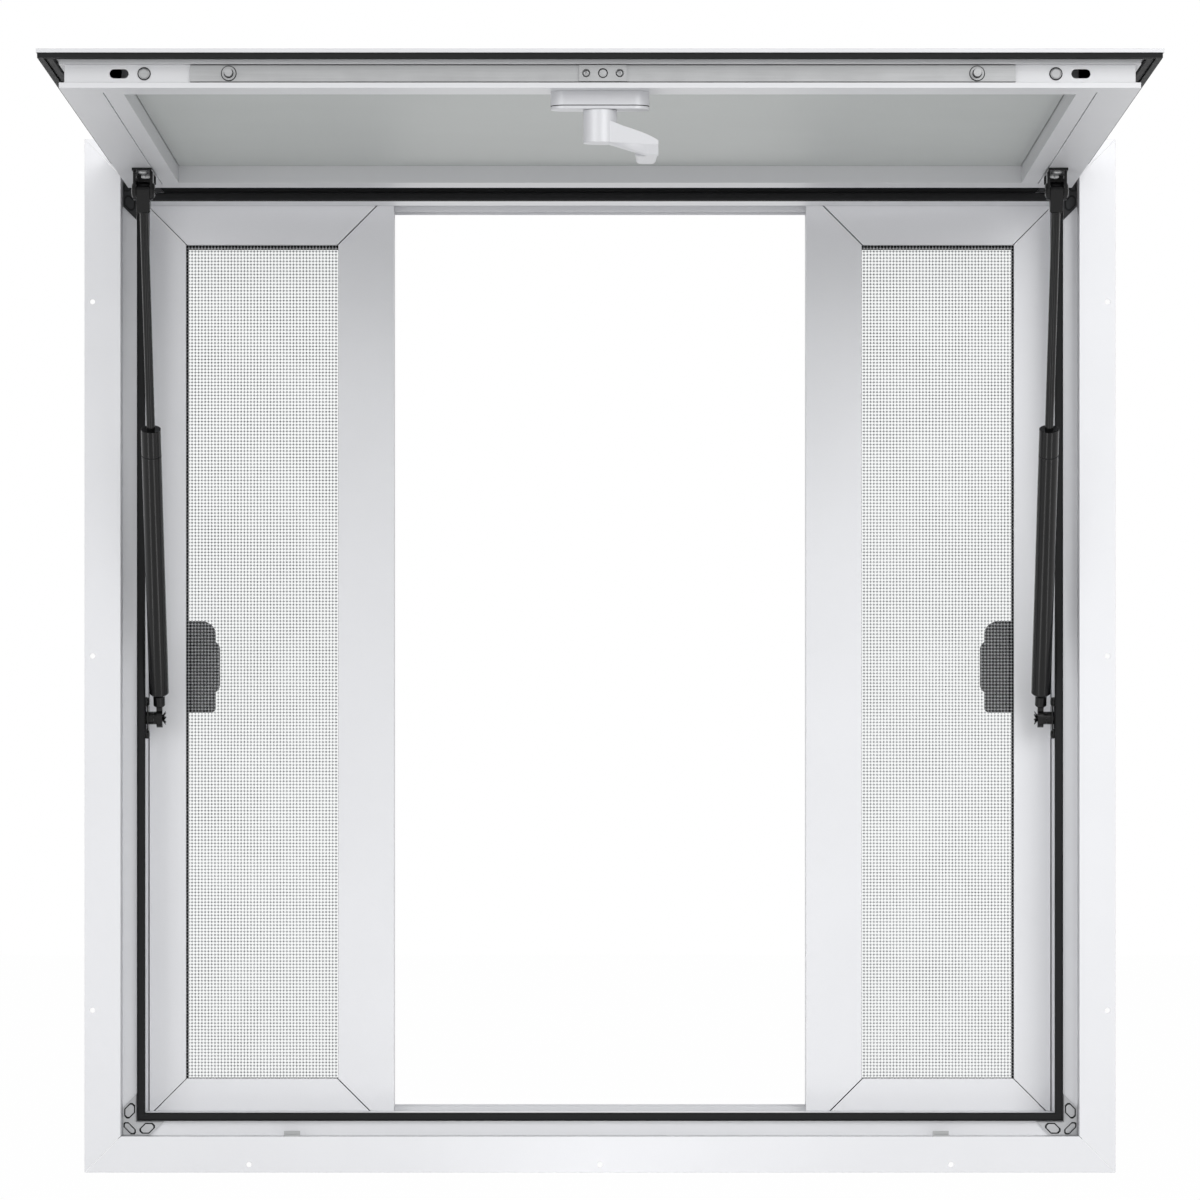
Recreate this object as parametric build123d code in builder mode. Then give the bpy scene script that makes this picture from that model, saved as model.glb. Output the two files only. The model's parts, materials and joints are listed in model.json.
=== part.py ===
"""A concession window: a flanged aluminium wall frame, an awning door that swings up on a rail
hinge and is held by two gas struts, and sliding screens behind it. Lengths are in millimetres.

X runs along the sill, Y into the wall and Z up. The origin is on the back of the sill flange,
midway along it and across it. The door stands level, swung fully up.
"""

import os
from build123d import *

os.makedirs("parts", exist_ok=True)

# Wall frame
recess_width = 904.0
recess_height = 906.0
flange_width = 34.0
flange_thickness = 2.0
frame_wall = 3.0
frame_seam = 0.25
chamber_wall = 2.5
ledge_depth = 30.0
ledge_width = 21.5
flange_hole_radius = 2.5
flange_hole_edge = 7.5
sill_hole_pitch = 331.0
jamb_hole_pitch = 334.0

# Screen tracks in the sill and the head
track_front = 76.0
track_slot = 21.0
track_rib = 2.0
track_deep = 12.0
middle_rib_stand = 3.6
back_rib_stand = 4.9

# Corner keys on the ledge
key_leg = 38.5
key_width = 12.4
key_thickness = 2.4
key_corner_gap = 0.5
key_emboss_start = 15.4
key_emboss_length = 14.8
key_emboss_edge = 1.0
key_emboss_cut = 2.4
key_emboss_line = 1.1
key_emboss_depth = 1.4
key_corner_emboss = 11.6

# Frame seal
seal_width = 7.7
seal_crown = 2.4
seal_squeeze_gap = 0.6

# Awning door
door_gap = 9.5
rail_width = 50.0
rail_below_flap = 23.0
rail_wall = 2.2
rail_lip = 4.6
bar_groove_width = 15.0
bar_groove_depth = 4.2
bead_line_inset = 34.0
bead_line_width = 1.3
bead_line_depth = 1.5
bead_line_end = 36.0
skin_thickness = 3.2
skin_overlap = 8.0
flap_height = 4.2
flap_width = 12.0
flap_edge = 1.0
flap_gap = 0.4
flap_channel_edge = 5.0
flap_channel_width = 2.6
flap_channel_depth = 2.2
lining_recess = 15.7
lining_gap = 0.8
rail_slot_inset = 49.0
rail_slot_length = 15.6
rail_slot_width = 7.5

# Rail hinge
hinge_out = 11.0
hinge_above = 16.8
bead_radius = 3.0
bead_clearance = 0.4
socket_wall = 2.2
web_thickness = 2.0
leaf_thickness = 2.0
leaf_height = 12.0
leaf_below = 7.0
socket_start_deg = 30.0
socket_end_deg = 240.0
socket_tongue = 16.0
socket_tongue_thickness = 2.0

# Lock bar, pins and keepers
bar_length = 675.0
bar_shift = 2.4
bar_thickness = 2.5
bar_clearance = 0.3
bar_edge_gap = 0.8
pin_spacing = 612.0
pin_radius = 3.25
pin_stand = 8.0
drive_block_length = 39.0
drive_block_thickness = 2.6
drive_hole_offset = 13.7
drive_hole_radius = 3.4
drive_hole_depth = 2.0
lock_travel = 13.0
keeper_length = 15.0
keeper_height = 5.0
keeper_thickness = 3.0
keeper_foot = 3.4
keeper_foot_thickness = 1.5
keeper_pin_gap = 0.5

# Handle
handle_setback = 32.5
handle_base_length = 81.0
handle_base_width = 25.0
handle_base_height = 14.8
handle_gap = 0.3
boss_radius = 13.8
boss_height = 27.0
arm_drop = 8.2
arm_front = 11.0
arm_nose = 7.0
arm_shoulder_x = 26.0
arm_shoulder_drop = 15.7
arm_bend_x = 38.5
arm_bend_drop = 20.4
grip_outer_x = 48.0
grip_drop = 25.5
grip_width = 19.4
grip_thickness = 11.0
grip_end_width = 16.5
grip_end_thickness = 8.0
grip_round = 3.4
grip_length = 104.0

# Gas struts
strut_wall_gap = 13.0
strut_pivot_reach = 200.0
strut_pivot_drop = 18.4
strut_foot_z = 412.4
rod_radius = 4.0
rod_clearance = 0.3
rod_start = 19.7
rod_inside = 30.0
tube_radius = 9.3
tube_wall = 1.2
tube_start = 239.0
tube_shoulder = 3.6
tube_neck_radius = 5.5
tube_foot_gap = 23.4
gland_length = 27.0
eye_width = 12.0
eye_radius = 8.0
eye_pin_radius = 3.0
eye_pin_clearance = 0.08
eye_side_gap = 0.5
eye_end_chamfer = 1.6
foot_blade = 5.6
foot_radius = 9.1
foot_hub = 5.5
foot_neck_length = 11.0
foot_neck_chamfer = 1.5

# Strut brackets
bracket_plate = 2.5
bracket_base_length = 69.0
bracket_base_front = 26.0
bracket_lip = 9.5
bracket_ear_radius = 9.0
foot_plate_height = 39.0
foot_plate_width = 22.0
foot_plate_thickness = 1.5
foot_plate_stand = 1.5
foot_plate_tab = 7.0
foot_boss_radius = 6.1
foot_boss_gap = 0.3

# Screens
hatch_width = 393.0
panel_thickness = 18.0
panel_side_gap = 1.0
panel_lift_gap = 3.0
outer_stile = 34.7
inner_stile = 53.0
top_rail = 46.3
bottom_rail = 42.8
mitre_gap = 1.3
screen_inset = 5.0
screen_thickness = 0.8
pane_thickness = 3.0

# Screen pulls
pull_height = 87.5
pull_reach = 26.0
pull_grip = 30.0
pull_thumb_height = 50.0
pull_thumb_reach = 30.0
pull_thumb_corner = 8.0
pull_thickness = 10.0
pull_cup_height = 34.0
pull_cup_width = 12.0
pull_cup_depth = 5.0
pull_corner = 13.0
pull_low_corner = 5.0
pull_centre_z = 463.0

# Places worked out from the sizes above
half_recess = recess_width / 2
recess_bottom = flange_width / 2
recess_top = recess_bottom + recess_height
mid_height = recess_bottom + recess_height / 2
outer_half_width = half_recess + flange_width
outer_half_height = recess_height / 2 + flange_width
reveal_half = half_recess - ledge_width
reveal_bottom = recess_bottom + ledge_width
reveal_top = recess_top - ledge_width
frame_depth = track_front + 2 * (track_slot + track_rib)

hinge_y = -hinge_out
hinge_z = recess_top + hinge_above
skin_under_closed = -flange_thickness - flap_gap - flap_height
rail_height = rail_below_flap + flap_height
rail_face_closed = skin_under_closed + rail_height
seal_height = ledge_depth - rail_face_closed - seal_squeeze_gap


def raised_y(closed_z):
    """Y, with the door up, of what is at this height when it is shut."""
    return hinge_y + closed_z - hinge_z


def raised_z(closed_y):
    """Z, with the door up, of what is at this depth when it is shut."""
    return hinge_z - closed_y + hinge_y


rail_half = half_recess - door_gap
rail_front = raised_y(recess_bottom + door_gap)
rail_back = raised_y(recess_top - door_gap)
rail_mid = (rail_front + rail_back) / 2
rail_half_length = (rail_back - rail_front) / 2
rail_slot_x = rail_half - rail_slot_inset
rail_under = raised_z(rail_face_closed)
skin_under = raised_z(skin_under_closed)
skin_half = half_recess + skin_overlap
skin_front = raised_y(recess_bottom - skin_overlap)
socket_radius = bead_radius + bead_clearance + socket_wall
skin_back = hinge_y - socket_radius
lining_under = rail_under + lining_recess
bar_mid_z = rail_under + rail_lip + bar_groove_width / 2
groove_floor = rail_front + bar_groove_depth
bar_back = groove_floor - bar_clearance
bar_front = bar_back - bar_thickness
pin_x = [bar_shift - pin_spacing / 2, bar_shift + pin_spacing / 2]
pin_closed_y = hinge_y - bar_mid_z + hinge_z
handle_y = rail_front + handle_setback
handle_base_under = rail_under - handle_base_height

strut_x = reveal_half - strut_wall_gap
strut_top = Vector(0, hinge_y - strut_pivot_reach, rail_under - strut_pivot_drop)
strut_foot = Vector(0, hinge_y + hinge_z - strut_top.Z, strut_foot_z)
strut_length = (strut_foot - strut_top).length
strut_shut_length = hinge_z - strut_pivot_reach - strut_foot_z
strut_stroke = strut_length - strut_shut_length
tube_end = strut_length - tube_foot_gap

panel_outer = reveal_half - panel_side_gap
panel_inner = hatch_width / 2
panel_bottom = reveal_bottom - track_deep
panel_top = reveal_top + track_deep - panel_lift_gap
opening_outer = panel_outer - outer_stile
opening_inner = panel_inner + inner_stile
opening_bottom = panel_bottom + bottom_rail
opening_top = panel_top - top_rail
panel_clearance = (track_slot - panel_thickness) / 2
outer_track_y = track_front + panel_clearance
inner_track_y = outer_track_y + track_slot + track_rib
SIDES = {"left": -1, "right": 1}


def save(piece, name):
    piece.part.label = name
    export_step(piece.part, f"parts/{name}.step")


def edge_plane(middle, inward, depth):
    """A plane across a straight member: its x runs inward from the outer edge, its y is depth."""
    return Plane(origin=middle, x_dir=inward, z_dir=Vector(inward).cross(Vector(depth)))


def mitre_planes(plane, half_length):
    """The 45 degree planes that end a member of a rectangular frame."""
    planes = []
    for end in (1, -1):
        corner = plane.origin + plane.z_dir * (end * half_length)
        planes.append(Plane(origin=corner, z_dir=plane.x_dir + plane.z_dir * end))
    return planes


def frame_outline(has_track):
    """Section of a wall frame member, as (inward, depth) points."""
    outer_face = flange_width - frame_wall
    reveal = flange_width + ledge_width
    points = [(0, -flange_thickness), (flange_width, -flange_thickness)]
    points += [(flange_width, ledge_depth), (reveal, ledge_depth)]
    if has_track:
        floor = reveal - track_deep
        rib_start = track_front + track_slot
        second_slot = rib_start + track_rib
        back_rib = second_slot + track_slot
        points += [(reveal, track_front), (floor, track_front), (floor, rib_start)]
        points += [(reveal + middle_rib_stand, rib_start), (reveal + middle_rib_stand, second_slot)]
        points += [(floor, second_slot), (floor, back_rib), (reveal + back_rib_stand, back_rib)]
        points += [(reveal + back_rib_stand, frame_depth)]
    else:
        points += [(reveal, frame_depth)]
    return points + [(outer_face, frame_depth), (outer_face, 0), (0, 0)]


def frame_chamber(has_track):
    """The hollow inside a wall frame member, as (inward, depth) points."""
    reveal = flange_width + ledge_width - chamber_wall
    front = ledge_depth + chamber_wall
    back = frame_depth - chamber_wall
    points = [(flange_width, front), (reveal, front)]
    if has_track:
        floor = reveal - track_deep
        step = track_front - chamber_wall
        points += [(reveal, step), (floor, step), (floor, back)]
    else:
        points += [(reveal, back)]
    return points + [(flange_width, back)]


def wall_frame_member(name, middle, inward, half_length, hole_pitch, has_track):
    plane = edge_plane(middle, inward, (0, 1, 0))
    with BuildPart() as member:
        with BuildSketch(plane):
            Polygon(*frame_outline(has_track))
            Polygon(*frame_chamber(has_track), mode=Mode.SUBTRACT)
        extrude(amount=half_length, both=True)
        for mitre in mitre_planes(plane, half_length - frame_seam):
            split(bisect_by=mitre, keep=Keep.BOTTOM)
        with BuildSketch(Plane(origin=plane.origin, x_dir=plane.z_dir, z_dir=(0, -1, 0))):
            with Locations(*[(along, -flange_hole_edge) for along in (-hole_pitch, 0, hole_pitch)]):
                Circle(flange_hole_radius)
        extrude(amount=flange_thickness, mode=Mode.SUBTRACT)
    save(member, name)


def wall_frame():
    bottom = recess_bottom - flange_width
    top = recess_top + flange_width
    wall_frame_member("frame_sill", (0, 0, bottom), (0, 0, 1), outer_half_width, sill_hole_pitch, True)
    wall_frame_member("frame_head", (0, 0, top), (0, 0, -1), outer_half_width, sill_hole_pitch, True)
    for side, sign in SIDES.items():
        middle = (sign * outer_half_width, 0, mid_height)
        inward = (-sign, 0, 0)
        wall_frame_member(f"frame_jamb_{side}", middle, inward, outer_half_height, jamb_hole_pitch, False)


def key_embosses():
    """Outlines embossed on a key, as (along one leg, along the other) points from its corner."""
    low, high = key_emboss_edge, key_width - key_emboss_edge
    cut = key_emboss_cut
    rise = high - low - 2 * cut
    start = key_emboss_start
    end = start + key_emboss_length
    leg = [(start, low + cut), (start + cut, low), (end - rise, low), (end, low + rise)]
    leg += [(end, high - cut), (end - cut, high), (start + rise, high), (start, high - rise)]
    near = (key_width - key_corner_emboss) / 2
    far = near + key_corner_emboss
    nip = cut / 2
    middle = key_width / 2
    corner = [(near, middle + nip), (middle + nip, near), (far - nip, near), (far, near + nip)]
    corner += [(far, middle - nip), (middle - nip, far), (near + nip, far), (near, far - nip)]
    return [leg, [(b, a) for a, b in leg], corner]


def corner_keys():
    """Four L-shaped keys with slanted ends and embossed outlines, one on each corner of the ledge."""
    face_y = ledge_depth - key_thickness
    outline = [(0, 0), (key_leg - key_width, 0), (key_leg, key_width), (key_width, key_width)]
    outline += [(key_width, key_leg), (0, key_leg - key_width)]
    corners = [
        (-half_recess, recess_bottom, 1, 1),
        (half_recess, recess_bottom, -1, 1),
        (-half_recess, recess_top, 1, -1),
        (half_recess, recess_top, -1, -1),
    ]
    with BuildPart() as keys:
        for corner_x, corner_z, right, up in corners:
            start_x = corner_x + right * key_corner_gap
            start_z = corner_z + up * key_corner_gap
            with BuildSketch(Plane.XZ.offset(-ledge_depth)):
                Polygon(*[(start_x + right * a, start_z + up * b) for a, b in outline])
            extrude(amount=key_thickness)
            with BuildSketch(Plane.XZ.offset(-face_y)):
                for points in key_embosses():
                    Polygon(*[(start_x + right * a, start_z + up * b) for a, b in points])
                offset(amount=-key_emboss_line, kind=Kind.INTERSECTION, mode=Mode.SUBTRACT)
            extrude(amount=-key_emboss_depth, mode=Mode.SUBTRACT)
    save(keys, "corner_keys")


def frame_seal():
    """The bulb seal on the ledge, just outside the reveal."""
    width = 2 * reveal_half
    height = reveal_top - reveal_bottom
    with BuildPart() as seal:
        with BuildSketch(Plane.XZ.offset(-ledge_depth)):
            with Locations((0, mid_height)):
                Rectangle(width + 2 * seal_width, height + 2 * seal_width)
                Rectangle(width, height, mode=Mode.SUBTRACT)
        extrude(amount=seal_height)
        fillet(seal.faces().sort_by(Axis.Y)[0].edges(), seal_crown)
    save(seal, "frame_seal")


def hinge_rail():
    """The fixed half of the rail hinge: a leaf on the head flange, a web and a round bead."""
    leaf_front = -flange_thickness - leaf_thickness
    web_low = hinge_z - web_thickness / 2
    with BuildPart() as rail:
        with BuildSketch(Plane.YZ):
            with Locations((hinge_y, hinge_z)):
                Circle(bead_radius)
            with Locations((hinge_y, web_low)):
                Rectangle(leaf_front - hinge_y, web_thickness, align=Align.MIN)
            with Locations((leaf_front, hinge_z - leaf_below)):
                Rectangle(leaf_thickness, leaf_height, align=Align.MIN)
        extrude(amount=skin_half, both=True)
    save(rail, "hinge_rail")


def hinge_socket():
    """The moving half of the rail hinge: a hook round the bead and a tongue under the door skin."""
    inner = bead_radius + bead_clearance
    sweep = socket_end_deg - socket_start_deg
    tongue_low = skin_under - socket_tongue_thickness
    with BuildPart() as socket:
        with BuildSketch(Plane.YZ) as section:
            with BuildLine():
                centre = (hinge_y, hinge_z)
                outside = CenterArc(centre, socket_radius, socket_start_deg, sweep)
                inside = CenterArc(centre, inner, socket_start_deg, sweep)
                Line(outside @ 0, inside @ 0)
                Line(outside @ 1, inside @ 1)
            make_face()
            with Locations((hinge_y - socket_tongue, tongue_low)):
                Rectangle(socket_tongue - inner, socket_tongue_thickness, align=Align.MIN)
            with Locations((hinge_y - socket_radius, tongue_low)):
                Rectangle(socket_wall, hinge_z - tongue_low, align=Align.MIN)
        extrude(amount=skin_half, both=True)
    save(socket, "door_hinge_socket")


def latch_keepers():
    """Two small angle keepers that stand on the sill recess, in front of the locked pins."""
    plate_back = pin_closed_y - pin_radius - keeper_pin_gap
    plate_front = plate_back - keeper_thickness
    with BuildPart() as keepers:
        with BuildSketch(Plane.XY.offset(recess_bottom)):
            with Locations(*[(x + lock_travel, plate_front) for x in pin_x]):
                Rectangle(keeper_length, keeper_thickness, align=(Align.CENTER, Align.MIN))
        extrude(amount=keeper_height)
        with BuildSketch(Plane.XY.offset(recess_bottom)):
            with Locations(*[(x + lock_travel, plate_front) for x in pin_x]):
                Rectangle(keeper_length, keeper_foot, align=(Align.CENTER, Align.MAX))
        extrude(amount=keeper_foot_thickness)
    save(keepers, "latch_keepers")


def door_rail(name, middle, inward, half_length, details):
    """A hollow door rail with the lock bar groove along its outer edge and mitred ends."""
    plane = edge_plane(middle, inward, (0, 0, 1))
    chamber_start = bar_groove_depth + rail_wall
    with BuildPart() as rail:
        with BuildSketch(plane):
            Rectangle(rail_width, rail_height, align=Align.MIN)
            with Locations((0, rail_lip)):
                Rectangle(bar_groove_depth, bar_groove_width, align=Align.MIN, mode=Mode.SUBTRACT)
            with Locations((chamber_start, rail_wall)):
                Rectangle(
                    rail_width - chamber_start - rail_wall,
                    rail_height - 2 * rail_wall,
                    align=Align.MIN,
                    mode=Mode.SUBTRACT,
                )
        extrude(amount=half_length, both=True)
        for mitre in mitre_planes(plane, half_length):
            split(bisect_by=mitre, keep=Keep.BOTTOM)
        if details == "bead line":
            with BuildSketch(Plane(origin=plane.origin, x_dir=plane.x_dir, z_dir=(0, 0, 1))):
                with Locations((bead_line_inset, 0)):
                    Rectangle(bead_line_width, 2 * (half_length - bead_line_end))
            extrude(amount=bead_line_depth, mode=Mode.SUBTRACT)
        if details == "lock slots":
            with BuildSketch(Plane.XZ.offset(-groove_floor)):
                with Locations((-rail_slot_x, bar_mid_z), (rail_slot_x, bar_mid_z)):
                    SlotOverall(rail_slot_length, rail_slot_width)
            extrude(amount=-rail_wall, mode=Mode.SUBTRACT)
    save(rail, name)


def door_rails():
    door_rail("door_rail_front", (0, rail_front, rail_under), (0, 1, 0), rail_half, "lock slots")
    door_rail("door_rail_back", (0, rail_back, rail_under), (0, -1, 0), rail_half, "plain")
    for side, sign in SIDES.items():
        middle = (sign * rail_half, rail_mid, rail_under)
        door_rail(f"door_rail_{side}", middle, (-sign, 0, 0), rail_half_length, "bead line")


def rim_band(edge, width):
    """A band along the skin's three free sides, in from its rim by `edge`."""
    half = skin_half - edge
    front = skin_front + edge
    length = hinge_y - socket_tongue - flap_edge - front
    with Locations((0, front)):
        Rectangle(2 * half, length, align=(Align.CENTER, Align.MIN))
    with Locations((0, front + width)):
        Rectangle(2 * (half - width), length, align=(Align.CENTER, Align.MIN), mode=Mode.SUBTRACT)


def door_panel():
    """The outer skin, the flap seal round its rim, and the lining between the rails."""
    skin_mid = (skin_front + skin_back) / 2
    skin_length = skin_back - skin_front
    with BuildPart() as skin:
        with BuildSketch(Plane.XY.offset(skin_under)):
            with Locations((0, skin_mid)):
                Rectangle(2 * skin_half, skin_length)
        extrude(amount=skin_thickness)
    save(skin, "door_skin")

    with BuildPart() as flap:
        with BuildSketch(Plane.XY.offset(skin_under)):
            rim_band(flap_edge, flap_width)
        extrude(amount=-flap_height)
        with BuildSketch(Plane.XY.offset(skin_under - flap_height)):
            rim_band(flap_edge + flap_channel_edge, flap_channel_width)
        extrude(amount=flap_channel_depth, mode=Mode.SUBTRACT)
    save(flap, "door_flap_seal")

    lining_inset = rail_width + lining_gap
    with BuildPart() as lining:
        with BuildSketch(Plane.XY.offset(lining_under)):
            with Locations((0, rail_mid)):
                Rectangle(2 * (rail_half - lining_inset), 2 * (rail_half_length - lining_inset))
        extrude(amount=skin_under - lining_under)
    save(lining, "door_lining")


def lock_bar():
    bar_height = bar_groove_width - 2 * bar_edge_gap
    with BuildPart() as bar:
        with BuildSketch(Plane.XZ.offset(-bar_back)):
            with Locations((bar_shift, bar_mid_z)):
                Rectangle(bar_length, bar_height)
        extrude(amount=bar_thickness)
    save(bar, "lock_bar")

    with BuildPart() as block:
        with BuildSketch(Plane.XZ.offset(-bar_front)):
            with Locations((bar_shift, bar_mid_z)):
                Rectangle(drive_block_length, bar_height)
        extrude(amount=drive_block_thickness)
        with BuildSketch(Plane.XZ.offset(drive_block_thickness - bar_front)):
            with Locations(*[(bar_shift + way * drive_hole_offset, bar_mid_z) for way in (-1, 1)]):
                Circle(drive_hole_radius)
        extrude(amount=-drive_hole_depth, mode=Mode.SUBTRACT)
    save(block, "lock_drive_block")

    pin_tip = rail_front - pin_stand
    with BuildPart() as pins:
        with BuildSketch(Plane.XZ.offset(-bar_front)):
            with Locations(*[(x, bar_mid_z) for x in pin_x]):
                Circle(pin_radius)
        extrude(amount=bar_front - pin_tip)
    save(pins, "lock_pins")


def handle_base():
    """The escutcheon on the front rail that carries the lever."""
    with BuildPart() as base:
        with BuildSketch(Plane.XY.offset(rail_under)):
            with Locations((0, handle_y)):
                SlotOverall(handle_base_length, handle_base_width)
        extrude(amount=-handle_base_height)
    save(base, "handle_base")


def handle_lever():
    """The cranked lever: a boss, an arm that sweeps down to one side, and a tapered grip."""
    boss_top = handle_base_under - handle_gap
    boss_low = boss_top - boss_height
    grip_top = boss_top - grip_drop
    grip_low = grip_top - grip_thickness
    nose_y = handle_y - arm_front
    arm_back = handle_y + arm_front
    grip_mid_x = grip_outer_x - grip_width / 2
    arm_sections = [(nose_y, boss_low - grip_round / 2), (nose_y + arm_nose, grip_low), (arm_back, grip_low)]
    with BuildPart() as lever:
        for section_y, low in arm_sections:
            with BuildSketch(Plane.XZ.offset(-section_y)):
                with BuildLine():
                    sweep_edge = Spline(
                        (boss_radius / 2, boss_top - arm_drop),
                        (arm_shoulder_x, boss_top - arm_shoulder_drop),
                        (arm_bend_x, boss_top - arm_bend_drop),
                        (grip_outer_x, grip_top),
                    )
                    Polyline(
                        sweep_edge @ 1,
                        (grip_outer_x, low),
                        (grip_mid_x, low),
                        (boss_radius / 2, boss_low),
                        sweep_edge @ 0,
                    )
                make_face()
        loft(ruled=True)
        with BuildSketch(Plane.XY.offset(boss_top)):
            with Locations((0, handle_y)):
                Circle(boss_radius)
        extrude(amount=-boss_height)
    with BuildPart() as grip:
        with BuildSketch(Plane.XZ.offset(-arm_back)):
            with Locations((grip_mid_x, (grip_top + grip_low) / 2)):
                RectangleRounded(grip_width, grip_thickness, grip_round)
        with BuildSketch(Plane.XZ.offset(-nose_y - grip_length)):
            with Locations((grip_mid_x, (grip_top + grip_low) / 2)):
                RectangleRounded(grip_end_width, grip_end_thickness, grip_round)
        loft()
    with lever:
        add(grip.part)
    save(lever, "handle_lever")


def strut_axes(sign):
    """Top pivot, unit direction from it to the foot, and a section plane with y along the strut."""
    top = Vector(sign * strut_x, strut_top.Y, strut_top.Z)
    along = (strut_foot - strut_top).normalized()
    section = Plane(origin=top, x_dir=(1, 0, 0), z_dir=Vector(1, 0, 0).cross(along))
    return top, along, section


def gas_strut(side, sign):
    top, along, section = strut_axes(sign)
    axis = Axis(top, along)
    foot = top + along * strut_length
    with BuildPart() as rod:
        with BuildSketch(section):
            with Locations((0, rod_start)):
                Rectangle(rod_radius, tube_start + rod_inside - rod_start, align=Align.MIN)
        revolve(axis=axis)
    save(rod, f"strut_rod_{side}")

    pin_axis_plane = Plane(origin=top, x_dir=along, z_dir=(1, 0, 0))
    with BuildPart() as eye:
        with BuildSketch(pin_axis_plane.offset(-eye_width / 2)):
            Circle(eye_radius)
            Rectangle(rod_start, 2 * eye_radius, align=(Align.MIN, Align.CENTER))
            Circle(eye_pin_radius + eye_pin_clearance, mode=Mode.SUBTRACT)
        extrude(amount=eye_width)
        chamfer(eye.faces().sort_by(axis)[-1].edges(), eye_end_chamfer)
    save(eye, f"strut_eye_{side}")

    bore = tube_radius - tube_wall
    gland_end = tube_start + gland_length
    with BuildPart() as tube:
        with BuildSketch(section):
            with BuildLine():
                Polyline(
                    (rod_radius + rod_clearance, tube_start),
                    (tube_radius, tube_start),
                    (tube_radius, tube_end - tube_shoulder),
                    (tube_neck_radius, tube_end),
                    (0, tube_end),
                    (0, tube_end - tube_shoulder),
                    (bore, tube_end - tube_shoulder),
                    (bore, gland_end),
                    (rod_radius + rod_clearance, gland_end),
                    close=True,
                )
            make_face()
        revolve(axis=axis)
    save(tube, f"strut_tube_{side}")

    foot_plane = Plane(origin=foot, x_dir=-along, z_dir=(-sign, 0, 0))
    blade_length = tube_foot_gap - foot_neck_length / 2
    with BuildPart() as end:
        with BuildSketch(Plane(origin=foot - along * tube_foot_gap, z_dir=along)):
            Circle(tube_neck_radius)
        extrude(amount=foot_neck_length)
        chamfer(end.faces().sort_by(axis)[-1].edges(), foot_neck_chamfer)
        with BuildSketch(foot_plane.offset(-foot_blade / 2)):
            Circle(foot_radius)
            Rectangle(blade_length, foot_blade, align=(Align.MIN, Align.CENTER))
        extrude(amount=foot_blade)
        with BuildSketch(foot_plane.offset(-foot_hub)):
            Circle(foot_boss_radius)
        extrude(amount=foot_hub - foot_blade / 2)
    save(end, f"strut_foot_{side}")


def upper_brackets():
    """Clevises under the side rails, with a lip behind, that hold the pins of the struts' eyes."""
    ear_inside = eye_width / 2 + eye_side_gap
    base_width = 2 * (ear_inside + bracket_plate)
    with BuildPart() as brackets:
        for sign in SIDES.values():
            x = sign * strut_x
            with BuildSketch(Plane.XY.offset(rail_under)):
                with Locations((x, strut_top.Y - bracket_base_front)):
                    Rectangle(base_width, bracket_base_length, align=(Align.CENTER, Align.MIN))
            extrude(amount=-bracket_plate)
            with BuildSketch(Plane.XY.offset(rail_under)):
                with Locations((x, strut_top.Y - bracket_base_front + bracket_base_length)):
                    Rectangle(base_width, bracket_plate, align=(Align.CENTER, Align.MAX))
            extrude(amount=-bracket_lip)
            for ear_x in (x - ear_inside - bracket_plate, x + ear_inside):
                with BuildSketch(Plane.YZ.offset(ear_x)):
                    with Locations((strut_top.Y, strut_top.Z)):
                        Circle(bracket_ear_radius)
                        Rectangle(2 * bracket_ear_radius, strut_pivot_drop, align=(Align.CENTER, Align.MIN))
                extrude(amount=bracket_plate)
            with BuildSketch(Plane.YZ.offset(x - ear_inside - bracket_plate)):
                with Locations((strut_top.Y, strut_top.Z)):
                    Circle(eye_pin_radius)
            extrude(amount=base_width)
    save(brackets, "strut_clevises")


def foot_brackets():
    """Bent plates on the reveal walls with bosses that stop just short of the struts' hubs."""
    boss_end = strut_x + foot_hub + foot_boss_gap
    half = foot_plate_height / 2
    bend = half - foot_plate_tab
    crown = bend - foot_plate_stand
    shift = foot_plate_thickness * (2**0.5 - 1)
    inside = [(0, half), (0, bend - shift), (foot_plate_stand, crown - shift)]
    outside = [(stand + foot_plate_thickness, rise) for stand, rise in
               ((foot_plate_stand, crown), (0, bend), (0, half))]
    upper = inside[::-1] + outside[::-1]
    outline = upper + [(stand, -rise) for stand, rise in reversed(upper)]
    with BuildPart() as brackets:
        for sign in SIDES.values():
            with BuildSketch(Plane.XZ.offset(-strut_foot.Y)):
                Polygon(*[(sign * (reveal_half - stand), strut_foot.Z + rise) for stand, rise in outline])
            extrude(amount=foot_plate_width / 2, both=True)
            with BuildSketch(Plane.YZ.offset(sign * reveal_half)):
                with Locations((strut_foot.Y, strut_foot.Z)):
                    Circle(foot_boss_radius)
            extrude(amount=-sign * (reveal_half - boss_end))
    save(brackets, "strut_foot_brackets")


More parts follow.
